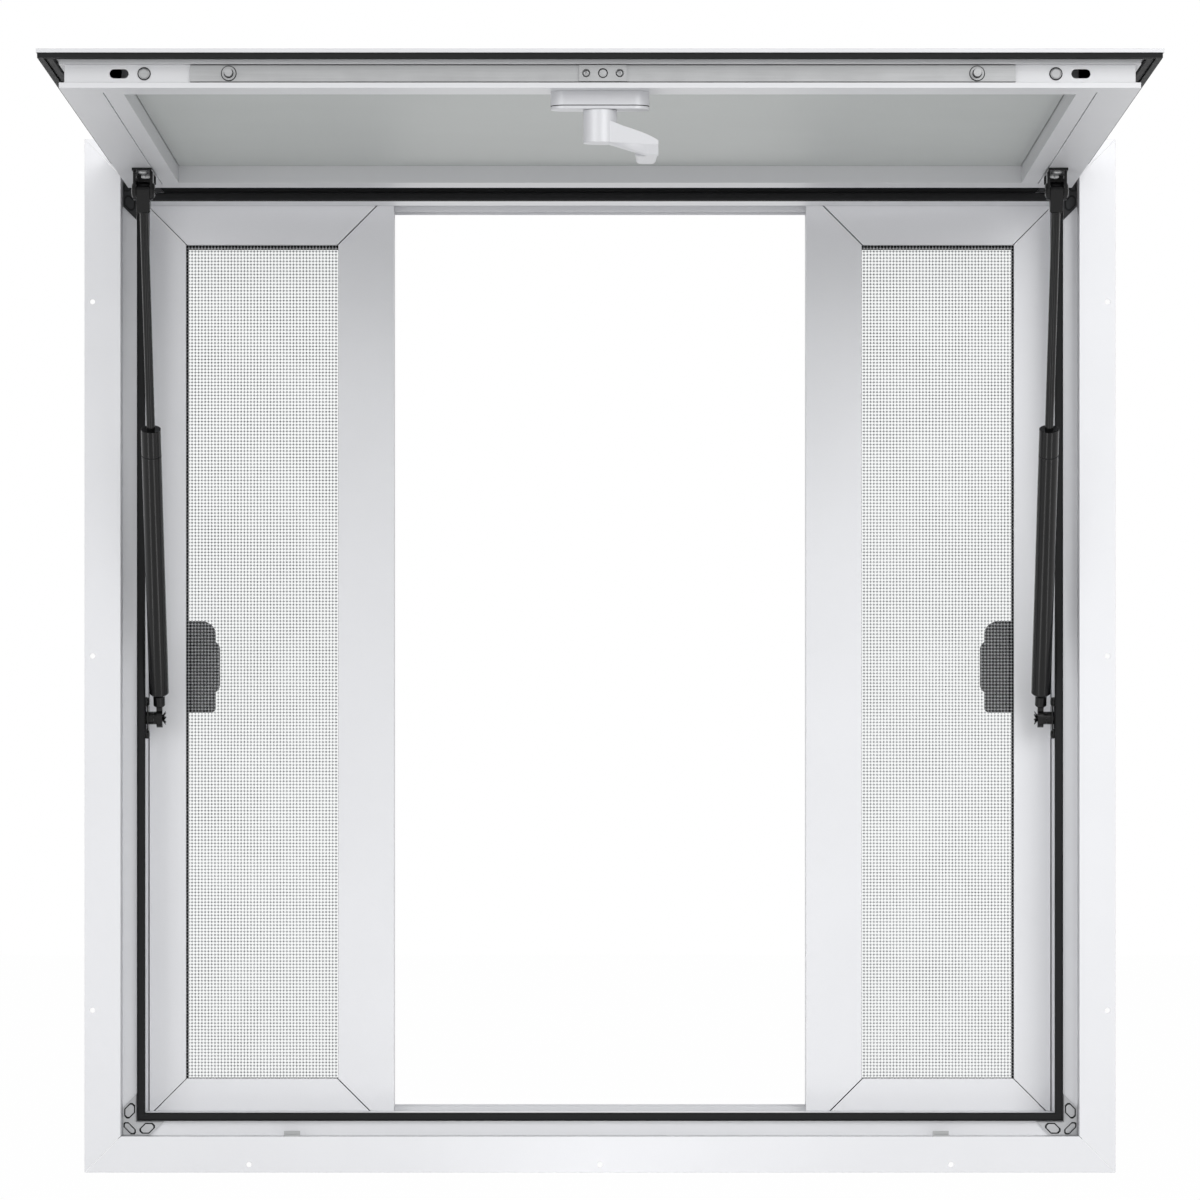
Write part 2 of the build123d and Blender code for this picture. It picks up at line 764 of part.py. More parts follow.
def mitred_panel(name, sign, front_y):
    """Stiles and rails of one screen panel, mitred at the corners of its opening."""
    far = panel_top
    low, high = opening_bottom, opening_top
    left, right = opening_inner, opening_outer
    near, away = left + mitre_gap, right - mitre_gap
    rails = [
        [(near, high), (away, high), (away + far, high + far), (near - far, high + far)],
        [(near, low), (away, low), (away + far, low - far), (near - far, low - far)],
    ]
    stiles = [
        [(right, low), (right, high), (right + far, high + far), (right + far, low - far)],
        [(left, low), (left, high), (left - far, high + far), (left - far, low - far)],
    ]
    panel_mid_x = sign * (panel_outer + panel_inner) / 2
    panel_mid_z = (panel_top + panel_bottom) / 2
    for bars, outlines in (("stiles", stiles), ("rails", rails)):
        with BuildPart() as frame:
            with BuildSketch(Plane.XZ.offset(-front_y)):
                for outline in outlines:
                    Polygon(*[(sign * x, z) for x, z in outline])
                with Locations((panel_mid_x, panel_mid_z)):
                    Rectangle(panel_outer - panel_inner, panel_top - panel_bottom, mode=Mode.INTERSECT)
            extrude(amount=-panel_thickness)
        save(frame, f"{name}_{bars}")


def panel_infill(name, sign, front_y, thickness):
    """The sheet that fills a panel's opening."""
    with BuildPart() as sheet:
        with BuildSketch(Plane.XZ.offset(-front_y)):
            with Locations((sign * (opening_outer + opening_inner) / 2, (opening_top + opening_bottom) / 2)):
                Rectangle(opening_outer - opening_inner, opening_top - opening_bottom)
        extrude(amount=-thickness)
    save(sheet, name)


def screen_pull(side, sign):
    """A pull on the room side of a sliding panel, over its outer stile and the pane's edge."""
    back_y = inner_track_y + panel_thickness
    cup_x = opening_outer - pull_reach / 2
    with BuildPart() as pull:
        with BuildSketch(Plane.XZ.offset(-back_y)) as outline:
            with Locations((sign * (opening_outer + (pull_grip - pull_reach) / 2), pull_centre_z)):
                Rectangle(pull_grip + pull_reach, pull_height)
            fillet(outline.vertices().group_by(Axis.Y)[-1], pull_corner)
            fillet(outline.vertices().group_by(Axis.Y)[0], pull_low_corner)
            with Locations((sign * (opening_outer - pull_thumb_reach / 2), pull_centre_z)):
                RectangleRounded(pull_thumb_reach, pull_thumb_height, pull_thumb_corner)
        extrude(amount=-pull_thickness)
        with BuildSketch(Plane.XZ.offset(-back_y - pull_thickness)):
            with Locations((sign * cup_x, pull_centre_z)):
                Rectangle(pull_cup_width, pull_cup_height)
        extrude(amount=pull_cup_depth, mode=Mode.SUBTRACT)
    save(pull, f"screen_pull_{side}")


def screens():
    pane_y = inner_track_y + (panel_thickness - pane_thickness) / 2
    for side, sign in SIDES.items():
        mitred_panel(f"outer_screen_{side}", sign, outer_track_y)
        panel_infill(f"outer_screen_{side}_mesh", sign, outer_track_y + screen_inset, screen_thickness)
        mitred_panel(f"inner_screen_{side}", sign, inner_track_y)
        panel_infill(f"inner_screen_{side}_pane", sign, pane_y, pane_thickness)
        screen_pull(side, sign)


wall_frame()
corner_keys()
frame_seal()
hinge_rail()
latch_keepers()
hinge_socket()
door_rails()
door_panel()
lock_bar()
handle_base()
handle_lever()
upper_brackets()
foot_brackets()
for side, sign in SIDES.items():
    gas_strut(side, sign)
screens()

strut_angle_open = (strut_foot - strut_top).get_angle(Vector(0, 0, -1))
print(f"strut length {strut_length:.3f}, stroke {strut_stroke:.3f}, slant {strut_angle_open:.4f}")
print(f"hinge {hinge_y:.3f} {hinge_z:.3f}, strut top {strut_top.Y:.3f} {strut_top.Z:.3f}")
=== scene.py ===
"""Dresses the concession window: its finishes, screens, fasteners and stage."""

import json
import math

import bmesh
import bpy
from bpy.props import FloatProperty, FloatVectorProperty, IntProperty, PointerProperty
from mathutils import Matrix, Vector


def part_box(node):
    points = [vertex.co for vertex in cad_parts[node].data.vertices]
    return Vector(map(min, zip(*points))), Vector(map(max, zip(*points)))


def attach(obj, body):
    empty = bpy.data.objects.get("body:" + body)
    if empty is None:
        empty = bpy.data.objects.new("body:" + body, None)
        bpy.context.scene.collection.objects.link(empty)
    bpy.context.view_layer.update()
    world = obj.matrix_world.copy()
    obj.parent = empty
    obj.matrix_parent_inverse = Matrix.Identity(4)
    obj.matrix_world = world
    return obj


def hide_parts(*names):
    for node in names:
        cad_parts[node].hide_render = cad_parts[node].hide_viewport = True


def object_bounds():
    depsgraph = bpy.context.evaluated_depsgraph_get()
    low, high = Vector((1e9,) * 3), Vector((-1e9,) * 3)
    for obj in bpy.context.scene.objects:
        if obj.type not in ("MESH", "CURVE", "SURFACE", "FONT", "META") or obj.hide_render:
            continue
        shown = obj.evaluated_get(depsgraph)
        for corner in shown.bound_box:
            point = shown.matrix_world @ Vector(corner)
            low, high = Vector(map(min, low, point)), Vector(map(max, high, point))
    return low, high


bl_info = {
    "name": "Concession Window Dresser",
    "version": (1, 0, 0),
    "blender": (4, 5, 0),
    "location": "3D View > Sidebar > Window",
    "description": "Finishes, screens, fasteners and stage for a concession window",
    "category": "Object",
}

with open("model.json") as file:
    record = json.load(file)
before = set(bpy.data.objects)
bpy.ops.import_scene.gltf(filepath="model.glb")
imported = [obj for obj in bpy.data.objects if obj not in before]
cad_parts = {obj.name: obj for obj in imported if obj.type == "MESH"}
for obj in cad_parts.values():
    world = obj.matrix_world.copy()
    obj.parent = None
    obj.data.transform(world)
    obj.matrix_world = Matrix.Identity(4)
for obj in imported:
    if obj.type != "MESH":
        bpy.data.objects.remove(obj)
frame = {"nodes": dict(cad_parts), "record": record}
CAD_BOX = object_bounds()
MM = 0.001
SIDES = ("left", "right")
# Sizes of CAD pieces that the fasteners sit on
CLEVIS_PLATE = 2.5 * MM
CLEVIS_SCREWS = (-10.0 * MM, 33.0 * MM)
TAB_THICKNESS = 1.5 * MM
TAB_SCREW_INSET = 4.0 * MM
KEY_WIDTH = 12.4 * MM
KEY_EMBOSS_EDGE = 1.0 * MM
KEY_EMBOSS_CUT = 2.4 * MM
KEY_EMBOSS_START = 15.4 * MM
KEY_EMBOSS_END = 30.2 * MM
KEY_CORNER_EDGE = 0.4 * MM
KEY_SHORT_LEG = 27.1 * MM
KEY_LONG_LEG = 39.5 * MM
FOOT_BLADE = 5.6 * MM
GLAND_PLACE = 265.0 * MM
TUBE_RADIUS = 9.3 * MM
BAR_GROOVE = 15.0 * MM
# How far the painted shade in a corner key's grooves stands off its face, and how deep it goes
KEY_SHADE_PROUD = 0.05 * MM
KEY_SHADE_DEPTH = 0.3 * MM
# Heights between which the corner keys go from their pale plating to painted shade, which darkens them on the
# head where the door shades them
KEY_SHADE_BLEND = (0.3, 0.7)
# Facets of round pieces, and the angle past which their edges stay sharp
SCREW_SEGMENTS = 24
PAN_SEGMENTS = 28
ROUND_SEGMENTS = 32
SLOT_SEGMENTS = 48
SHARP_ANGLE = math.radians(35)
# Stage, in metres and watts
SKY_LIGHT = 0.62
SKY_SEEN = 1.0
FLOOR_REACH = 30.0
FLOOR_DROP = 0.16
FLOOR_GLOW = 0.985
FLOOR_COLOUR = (0.86, 0.86, 0.87, 1.0)
FLOOR_ROUGHNESS = 0.9
WHITE = (1.0, 1.0, 1.0, 1.0)
STRIP_LIFT = 0.04
STRIP_X = (-0.95, 0.0, 0.95)
STRIP_Y = -0.64
STRIP_SIZE = (0.12, 0.6)
STRIP_WATTS = 1.0
SOFTBOX_SIZE = (2.6, 2.6)
SOFTBOX_AIM = (0, 0, 0.4)
SOFTBOXES = {"key softbox": ((2.2, -4.6, 2.5), 80.0), "fill softbox": ((-3.0, -4.6, 1.6), 44.0)}
CAMERA_PLACE = (0, -6.95, 0.273)
CAMERA_SENSOR = 36.0
CAMERA_LENS = 221.1
CAMERA_SHIFT = 0.2208
CAMERA_CLIP_END = 100.0


# Node trees

class Value:
    """A node's output that takes part in Python arithmetic."""

    def __init__(self, tree, socket):
        self.tree = tree
        self.socket = socket

    def math(self, operation, first, second):
        return self.tree.node("ShaderNodeMath", {"operation": operation}, {0: first, 1: second})

    def __add__(self, other):
        return self.math("ADD", self, other)

    def __radd__(self, other):
        return self.math("ADD", other, self)

    def __sub__(self, other):
        return self.math("SUBTRACT", self, other)

    def __rsub__(self, other):
        return self.math("SUBTRACT", other, self)

    def __mul__(self, other):
        return self.math("MULTIPLY", self, other)

    def __rmul__(self, other):
        return self.math("MULTIPLY", other, self)


class NodeTree:
    """Adds nodes to a tree. `node` takes a type, its settings and what feeds its sockets."""

    def __init__(self, tree):
        self.nodes = tree.nodes
        self.links = tree.links

    def feed(self, socket, value):
        if isinstance(value, Value):
            self.links.new(value.socket, socket)
        else:
            socket.default_value = value

    def node(self, kind, settings=None, inputs=None, output=0):
        made = self.nodes.new(kind)
        for key, value in (settings or {}).items():
            setattr(made, key, value)
        for key, value in (inputs or {}).items():
            self.feed(made.inputs[key], value)
        return Value(self, made.outputs[output])


class Finish(NodeTree):
    """One procedural material on a Principled shader."""

    def __init__(self, name):
        self.material = bpy.data.materials.new(name)
        self.material.use_nodes = True
        super().__init__(self.material.node_tree)
        self.shader = self.nodes["Principled BSDF"]
        self.place = self.node("ShaderNodeTexCoord", output="Object")

    def set(self, **sockets):
        for name, value in sockets.items():
            self.feed(self.shader.inputs[name.replace("_", " ")], value)

    def noise(self, scale, detail=2.0, stretch=None):
        place = self.place
        if stretch:
            place = self.node("ShaderNodeMapping", inputs={"Vector": place, "Scale": stretch})
        inputs = {"Vector": place, "Scale": scale, "Detail": detail}
        return self.node("ShaderNodeTexNoise", inputs=inputs, output="Fac")

    def tint(self, factor, dark, light):
        """A colour between two, by a factor that varies over the surface."""
        inputs = {0: factor, 6: (*dark, 1.0), 7: (*light, 1.0)}
        return self.node("ShaderNodeMix", {"data_type": "RGBA"}, inputs, output=2)

    def relief(self, height, depth, strength, edge_radius=0.0):
        """A bumped normal, with edges rounded over by a small radius."""
        inputs = {"Height": height, "Distance": depth, "Strength": strength}
        if edge_radius:
            inputs["Normal"] = self.node("ShaderNodeBevel", {"samples": 4}, {"Radius": edge_radius})
        self.set(Normal=self.node("ShaderNodeBump", inputs=inputs))


def shade(base, factor):
    """A lighter or darker form of a colour."""
    return [channel * factor for channel in base]


# Sizes and colours a user would change

def length(name, default, description):
    return FloatProperty(name=name, description=description, default=default, min=0.0, unit="LENGTH",
                         precision=5)


def colour(name, default, description):
    return FloatVectorProperty(name=name, description=description, default=default, size=3, min=0.0, max=1.0,
                               subtype="COLOR")


class WindowSizes(bpy.types.PropertyGroup):
    """Sizes of the pieces that the scene adds."""

    mesh_pitch: length("Mesh pitch", 3.12 * MM, "Distance from wire to wire")
    wire_diameter: length("Wire diameter", 0.28 * MM, "Thickness of a screen strand")
    wire_sides: IntProperty(name="Wire sides", description="Sides of a strand's section", default=6, min=3)
    knuckle_reach: length("Knuckle reach", 1.2 * MM, "Half the width of the fused knuckle at a crossing")
    # The ring behind a mesh is a thin spline, made wider at its head and its jamb side as painted shade from
    # the recess
    shade_at_head: length("Gasket head", 3.3 * MM, "Thickness of the dark gasket behind a mesh, at its head")
    shade_at_jamb: length("Gasket outer side", 1.5 * MM, "Thickness of that gasket at the jamb side")
    spline_width: length("Gasket thin sides", 0.4 * MM, "Thickness of that gasket at the hatch and the foot")
    spline_and_shade_depth: length("Gasket depth", 11.5 * MM, "How far the gasket runs back from the mesh")
    screw_radius: length("Screw radius", 3.0 * MM, "Head radius of the drive block's screws")
    pan_radius: length("Pan head radius", 4.2 * MM, "Head radius of the strut brackets' screws")
    pan_height: length("Pan head height", 2.0 * MM, "Head height of the strut brackets' screws")
    pivot_head_radius: length("Pivot head radius", 6.6 * MM, "Head radius of the struts' upper pins")
    pivot_head_height: length("Pivot head height", 1.8 * MM, "How far a pin's head stands off its ear")
    star_radius: length("Star washer radius", 6.3 * MM, "Reach of the teeth of the struts' star washers")
    plug_radius: length("Plug radius", 4.5 * MM, "Radius of the round plugs in the front rail")
    # The dark line round a plug is painted shade
    plug_shade_width: length("Plug groove", 0.9 * MM, "Width of the dark line round a plug")
    plug_inset: length("Plug inset", 69.5 * MM, "From the front rail's end to a plug's centre")
    block_screw_pitch: length("Block screw pitch", 13.7 * MM, "Between the drive block's screws")
    block_hole_depth: length("Block hole depth", 2.0 * MM, "Depth of the drive block's screw holes")
    button_radius: length("Button radius", 3.3 * MM, "Radius of the drive block's middle button")
    washer_bore: length("Washer bore", 3.9 * MM, "Bore of the lock pins' washers")
    washer_radius: length("Washer radius", 5.7 * MM, "Radius of the lock pins' washers")
    washer_height: length("Washer height", 1.5 * MM, "Thickness of the lock pins' washers")
    shadow_line: length("Shadow line", 0.7 * MM, "Width of the dark lines round washers and buttons")
    rim_height: length("Rim height", 2.6 * MM, "Height of the rim below the handle base's dark line")
    # The handle base's dark line is painted shade
    rim_shade_width: length("Rim line", 0.7 * MM, "Width of the handle base's dark line")
    # A key's dark outlines are painted shade in its grooves
    key_shade_width: FloatProperty(name="Key line", default=0.22, min=0.05, max=0.5,
                            description="Width of a key's dark outlines, as a share of their reach")
    # The dark line round a strut's gland is painted shade
    gland_shade: length("Gland line", 1.0 * MM, "Width of the dark line round a strut's gland")
    # The dark strip behind the lock bar is painted shade in its groove
    bar_shade_thickness: length("Glide thickness", 0.2 * MM, "Thickness of the dark strip behind the lock bar")
    bar_shade_gap: length("Glide gap", 0.2 * MM, "From the glide strip's edge to the groove's side")
    # The head seal's flat base is painted shade: a dark strip on the head ledge where the door shades it
    head_shade_strip_height: length("Seal base height", 12.6 * MM, "Height of the head seal's flat base")
    head_shade_strip_thickness: length("Seal base thickness", 1.2 * MM, "Thickness of the head seal's flat base")


class WindowColours(bpy.types.PropertyGroup):
    """Colours of the finishes, as linear values."""

    aluminium: colour("Aluminium", (0.74, 0.745, 0.765), "Satin aluminium of the frame and the screens")
    door_metal: colour("Door metal", (0.63, 0.635, 0.65), "Satin aluminium of the awning door")
    lining: colour("Lining", (0.41, 0.43, 0.42), "Sheet under the door")
    rubber: colour("Rubber", (0.005, 0.0053, 0.0056), "Seals")
    zinc: colour("Zinc", (0.40, 0.405, 0.41), "Plated steel of the lock")
    key_low: colour("Lower keys", (0.50, 0.505, 0.515), "Plated steel of the lower corner keys")
    # Painted shade: the upper keys are darkened to stand for the door's shadow on the head
    key_painted_shade: colour("Upper keys", (0.035, 0.036, 0.038), "Painted shade on the upper corner keys")
    handle: colour("Handle", (0.62, 0.625, 0.645), "Silver paint of the handle")
    strut: colour("Strut", (0.003, 0.003, 0.0032), "Black paint of the gas struts")
    wire: colour("Wire", (0.33, 0.335, 0.345), "Screen strands")
    pull: colour("Pull", (0.02, 0.02, 0.021), "Moulded pulls")


# Finishes

def satin_metal(name, base):
    """Fine-blasted anodised aluminium: a close sparkle, slow mottling and slightly worn edges."""
    finish = Finish(name)
    sparkle = finish.noise(scale=2600.0, detail=1.0)
    mottle = finish.noise(scale=9.0, detail=3.0)
    tone = sparkle * 0.55 + mottle * 0.45
    finish.set(
        Base_Color=finish.tint(tone, shade(base, 0.93), shade(base, 1.06)),
        Roughness=0.36 + 0.16 * sparkle,
        Metallic=0.55,
    )
    finish.relief(sparkle, depth=0.05 * MM, strength=0.18, edge_radius=0.5 * MM)
    return finish.material


def drawn_metal(name, base, along):
    """Plated steel with fine lines along its length."""
    finish = Finish(name)
    lines = finish.noise(scale=900.0, detail=2.0, stretch=along)
    cloud = finish.noise(scale=60.0, detail=3.0)
    finish.set(
        Base_Color=finish.tint(lines * 0.6 + cloud * 0.4, shade(base, 0.82), shade(base, 1.14)),
        Roughness=0.26 + 0.2 * cloud,
        Metallic=0.85,
    )
    finish.relief(lines, depth=0.04 * MM, strength=0.25, edge_radius=0.3 * MM)
    return finish.material


def rubber(name, base):
    """Extruded rubber with a dusty bloom."""
    finish = Finish(name)
    bloom = finish.noise(scale=140.0, detail=4.0)
    finish.set(Base_Color=finish.tint(bloom, base, shade(base, 2.1)), Roughness=0.5 + 0.25 * bloom,
               Specular_IOR_Level=0.22)
    finish.relief(finish.noise(scale=1500.0), depth=0.08 * MM, strength=0.3, edge_radius=0.6 * MM)
    return finish.material


def lining_sheet(name, base):
    """Matt painted sheet with a faint orange peel."""
    finish = Finish(name)
    peel = finish.noise(scale=420.0, detail=2.0)
    mottle = finish.noise(scale=7.0, detail=3.0)
    finish.set(Base_Color=finish.tint(mottle, shade(base, 0.95), shade(base, 1.05)),
               Roughness=0.42 + 0.1 * peel, Metallic=0.15)
    finish.relief(peel, depth=0.06 * MM, strength=0.2, edge_radius=0.4 * MM)
    return finish.material


def silver_paint(name, base):
    """Powder coat with metal flake on a die casting."""
    finish = Finish(name)
    flake = finish.noise(scale=3200.0, detail=1.0)
    peel = finish.noise(scale=600.0, detail=2.0)
    finish.set(Base_Color=finish.tint(flake, shade(base, 0.94), shade(base, 1.05)),
               Roughness=0.4 + 0.08 * flake, Metallic=0.25)
    finish.relief(peel, depth=0.05 * MM, strength=0.25, edge_radius=0.8 * MM)
    return finish.material


def black_paint(name, base, rough, gloss):
    """Glossy black paint on steel."""
    finish = Finish(name)
    peel = finish.noise(scale=500.0, detail=2.0)
    cloud = finish.noise(scale=30.0, detail=3.0)
    finish.set(Base_Color=finish.tint(cloud, base, shade(base, 1.9)), Roughness=rough + 0.1 * peel,
               Specular_IOR_Level=gloss)
    finish.relief(peel, depth=0.03 * MM, strength=0.2, edge_radius=0.4 * MM)
    return finish.material


def key_plating_and_painted_shade(name, low, high):
    """Plated keys with painted shade blended in by height, so they are darker on the head than on the sill.
    """
    finish = Finish(name)
    cloud = finish.noise(scale=70.0, detail=3.0)
    up = finish.node("ShaderNodeSeparateXYZ", inputs={"Vector": finish.place}, output="Z")
    pale, dark = KEY_SHADE_BLEND
    # Painted shade: the keys' colour darkens with height, towards the head
    height = finish.node("ShaderNodeMapRange", inputs={"Value": up, "From Min": pale, "From Max": dark})
    finish.set(Base_Color=finish.tint(height, low, high), Roughness=0.35 + 0.2 * cloud, Metallic=0.6)
    finish.relief(cloud, depth=0.04 * MM, strength=0.25, edge_radius=0.3 * MM)
    return finish.material


def clear_sheet(name):
    """A clear pane."""
    finish = Finish(name)
    smear = finish.noise(scale=5.0, detail=3.0)
    finish.set(Base_Color=(0.97, 0.985, 0.98, 1.0), Roughness=0.01 + 0.02 * smear, Transmission_Weight=1.0,
               IOR=1.45)
    return finish.material


def finishes():
    """Every finish of the window, by name, made once."""
    colours = bpy.context.scene.window_colours
    makers = {
        "aluminium": lambda name: satin_metal(name, colours.aluminium),
        "door metal": lambda name: satin_metal(name, colours.door_metal),
        "lining": lambda name: lining_sheet(name, colours.lining),
        "rubber": lambda name: rubber(name, colours.rubber),
        "key plating": lambda name: key_plating_and_painted_shade(name, (*colours.key_low,), (*colours.key_painted_shade,)),
        "zinc": lambda name: drawn_metal(name, colours.zinc, (0.02, 1.0, 1.0)),
        "handle paint": lambda name: silver_paint(name, colours.handle),
        "strut paint": lambda name: black_paint(name, colours.strut, rough=0.15, gloss=0.28),
        "rod coating": lambda name: black_paint(name, colours.strut, rough=0.1, gloss=0.28),
        "wire": lambda name: black_paint(name, colours.wire, rough=0.4, gloss=0.2),
        "pull plastic": lambda name: black_paint(name, colours.pull, rough=0.45, gloss=0.2),
        "pane": clear_sheet,
    }
    return {name: bpy.data.materials.get(name) or maker(name) for name, maker in makers.items()}


NODE_FINISHES = {
    "frame_": "aluminium",
    "frame_seal": "rubber",
    "hinge_rail": "aluminium",
    "corner_keys": "key plating",
    "latch_keepers": "zinc",
    "strut_foot_brackets": "strut paint",
    "outer_screen_": "aluminium",
    "inner_screen_": "aluminium",
    "inner_screen_left_pane": "pane",
    "inner_screen_right_pane": "pane",
    "screen_pull_": "pull plastic",
    "door_": "door metal",
    "door_lining": "lining",
    "door_flap_seal": "rubber",
    "handle_": "handle paint",
    "lock_": "zinc",
    "strut_clevises": "strut paint",
    "strut_": "strut paint",
    "strut_rod_": "rod coating",
}


# Meshes

def mesh_object(name, mesh):
    piece = bpy.data.objects.new(name, mesh)
    bpy.context.scene.collection.objects.link(piece)
    return piece


def shape_object(name, shape):
    return mesh_object(name, to_mesh(name, shape))


def finish_piece(piece, body, material, replaced=()):
    piece.data.materials.clear()
    piece.data.materials.append(material)
    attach(piece, body)
    if replaced:
        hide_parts(*replaced)
    return piece


def lathe(profile, segments, loop=False):
    """A shape turned about Z from (radius, height) points, which a loop joins end to end."""
    shape = bmesh.new()
    vertices = [shape.verts.new((radius, 0, height)) for radius, height in profile]
    following = vertices[1:] + vertices[:1] if loop else vertices[1:]
    edges = [shape.edges.new(pair) for pair in zip(vertices, following)]
    bmesh.ops.spin(shape, geom=vertices + edges, axis=(0, 0, 1), cent=(0, 0, 0), steps=segments,
                   angle=math.tau)
    bmesh.ops.remove_doubles(shape, verts=shape.verts, dist=1e-6)
    bmesh.ops.recalc_face_normals(shape, faces=shape.faces)
    return shape


def joint_vector(name, key):
    """A joint's place or axis at rest."""
    joints = frame["record"]["behaviour"]["joints"]
    return Vector(next(joint[key] for joint in joints if joint["name"] == name))


def screw_head(radius):
    """A button head with a six-sided socket."""
    height = 0.75 * radius
    socket = 0.42 * radius
    shape = lathe([(0, 0), (radius, 0), (radius, 0.25 * height), (0.86 * radius, 0.7 * height),
                   (0.6 * radius, 0.95 * height), (0.5 * radius, height)], SCREW_SEGMENTS)
    rim = [v for v in shape.verts if v.co.z > 0.99 * height]
    rim.sort(key=lambda v: math.atan2(v.co.y, v.co.x))
    upper, lower = [], []
    for vertex in rim:
        angle = math.atan2(vertex.co.y, vertex.co.x)
        sector = (angle % (math.tau / 6)) - math.tau / 12
        reach = socket * math.cos(math.tau / 12) / math.cos(sector)
        upper.append(shape.verts.new((reach * math.cos(angle), reach * math.sin(angle), height)))
        lower.append(shape.verts.new((reach * math.cos(angle), reach * math.sin(angle), 0.35 * height)))
    count = len(rim)
    for i in range(count):
        j = (i + 1) % count
        shape.faces.new((rim[i], rim[j], upper[j], upper[i]))
        shape.faces.new((upper[i], upper[j], lower[j], lower[i]))
    shape.faces.new(lower)
    bmesh.ops.recalc_face_normals(shape, faces=shape.faces)
    return shape


def upright_rings(pairs, front, back):
    """A closed ring between the two outlines of each pair, which are lists of (x, z) points."""
    shape = bmesh.new()
    for outer, inner in pairs:
        rings = [[shape.verts.new((x, y, z)) for x, z in points]
                 for y in (front, back) for points in (outer, inner)]
        outer_front, inner_front, outer_back, inner_back = rings
        for first, second in ((outer_front, inner_front), (inner_front, inner_back),
                              (inner_back, outer_back), (outer_back, outer_front)):
            for i in range(len(outer)):
                j = (i + 1) % len(outer)
                shape.faces.new((first[i], first[j], second[j], second[i]))
    bmesh.ops.recalc_face_normals(shape, faces=shape.faces)
    return shape


def rectangle(left, right, bottom, top):
    return [(left, bottom), (right, bottom), (right, top), (left, top)]


def key_outlines():
    """The outlines embossed on a corner key, as distances along its two legs from the corner."""
    low, high = KEY_EMBOSS_EDGE, KEY_WIDTH - KEY_EMBOSS_EDGE
    start, end, cut = KEY_EMBOSS_START, KEY_EMBOSS_END, KEY_EMBOSS_CUT
    rise = high - low - 2 * cut
    leg = [(start, low + cut), (start + cut, low), (end - rise, low), (end, low + rise)]
    leg += [(end, high - cut), (end - cut, high), (start + rise, high), (start, high - rise)]
    near, far = KEY_CORNER_EDGE, KEY_WIDTH - KEY_CORNER_EDGE
    middle, nip = KEY_WIDTH / 2, cut / 2
    corner = [(near, middle + nip), (middle + nip, near), (far - nip, near), (far, near + nip)]
    corner += [(far, middle - nip), (middle - nip, far), (near + nip, far), (near, far - nip)]
    return [leg, [(b, a) for a, b in leg], corner]


def pan_head(radius, height):
    """A domed head with a shallow dish in its top."""
    return lathe([(0, 0), (radius, 0), (radius, 0.35 * height), (0.93 * radius, 0.62 * height),
                  (0.76 * radius, 0.86 * height), (0.5 * radius, height), (0.3 * radius, height),
                  (0.2 * radius, 0.7 * height), (0, 0.6 * height)], PAN_SEGMENTS)


def flat_ring(inner, outer, height):
    """A flat washer about Z."""
    profile = [(inner, 0), (outer, 0), (outer, height), (inner, height)]
    return lathe(profile, ROUND_SEGMENTS, loop=True)


def star_washer(radius):
    """A push-on washer whose eight teeth flare outwards, round the end of a pin."""
    shape = bmesh.new()
    teeth, steps = 8, 4
    count = teeth * steps
    thickness = 0.09 * radius
    hub = 0.45 * radius
    rings = []
    for base in (0.0, thickness):
        root, rim = [], []
        for i in range(count):
            angle = math.tau * i / count
            tooth = i % steps < steps / 2
            reach, rise = (radius, 0.38 * radius) if tooth else (0.62 * radius, 0.1 * radius)
            root.append(shape.verts.new((hub * math.cos(angle), hub * math.sin(angle), base)))
            rim.append(shape.verts.new((reach * math.cos(angle), reach * math.sin(angle), base + rise)))
        rings.append((root, rim))
    (low_root, low_rim), (high_root, high_rim) = rings
    tip = [shape.verts.new((0.8 * v.co.x, 0.8 * v.co.y, 0.3 * radius)) for v in high_root]
    for i in range(count):
        j = (i + 1) % count
        shape.faces.new((low_root[i], low_root[j], low_rim[j], low_rim[i]))
        shape.faces.new((low_rim[i], low_rim[j], high_rim[j], high_rim[i]))
        shape.faces.new((high_rim[i], high_rim[j], high_root[j], high_root[i]))
        shape.faces.new((high_root[i], high_root[j], tip[j], tip[i]))
    shape.faces.new(low_root)
    shape.faces.new(tip)
    bmesh.ops.recalc_face_normals(shape, faces=shape.faces)
    return shape


def slot_band(long, wide, low, high, wall):
    """A thin wall round a slot-shaped outline that is centred on Z."""
    shape = bmesh.new()
    rings = []
    for reach, z in ((wide / 2 - wall, low), (wide / 2, low), (wide / 2, high), (wide / 2 - wall, high)):
        ring = []
        for i in range(SLOT_SEGMENTS):
            angle = math.tau * (i + 0.5) / SLOT_SEGMENTS
            shift = math.copysign((long - wide) / 2, math.cos(angle))
            ring.append(shape.verts.new((shift + reach * math.cos(angle), reach * math.sin(angle), z)))
        rings.append(ring)
    for first, second in zip(rings, rings[1:] + rings[:1]):
        for i in range(SLOT_SEGMENTS):
            j = (i + 1) % SLOT_SEGMENTS
            shape.faces.new((first[i], first[j], second[j], second[i]))
    bmesh.ops.recalc_face_normals(shape, faces=shape.faces)
    return shape


def extrude_outline(outline, front, back):
    """A solid with an upright outline of (x, z) points."""
    shape = bmesh.new()
    ends = [[shape.verts.new((x, y, z)) for x, z in outline] for y in (front, back)]
    for end in ends:
        shape.faces.new(end)
    for i in range(len(outline)):
        j = (i + 1) % len(outline)
        shape.faces.new((ends[0][i], ends[0][j], ends[1][j], ends[1][i]))
    bmesh.ops.recalc_face_normals(shape, faces=shape.faces)
    return shape


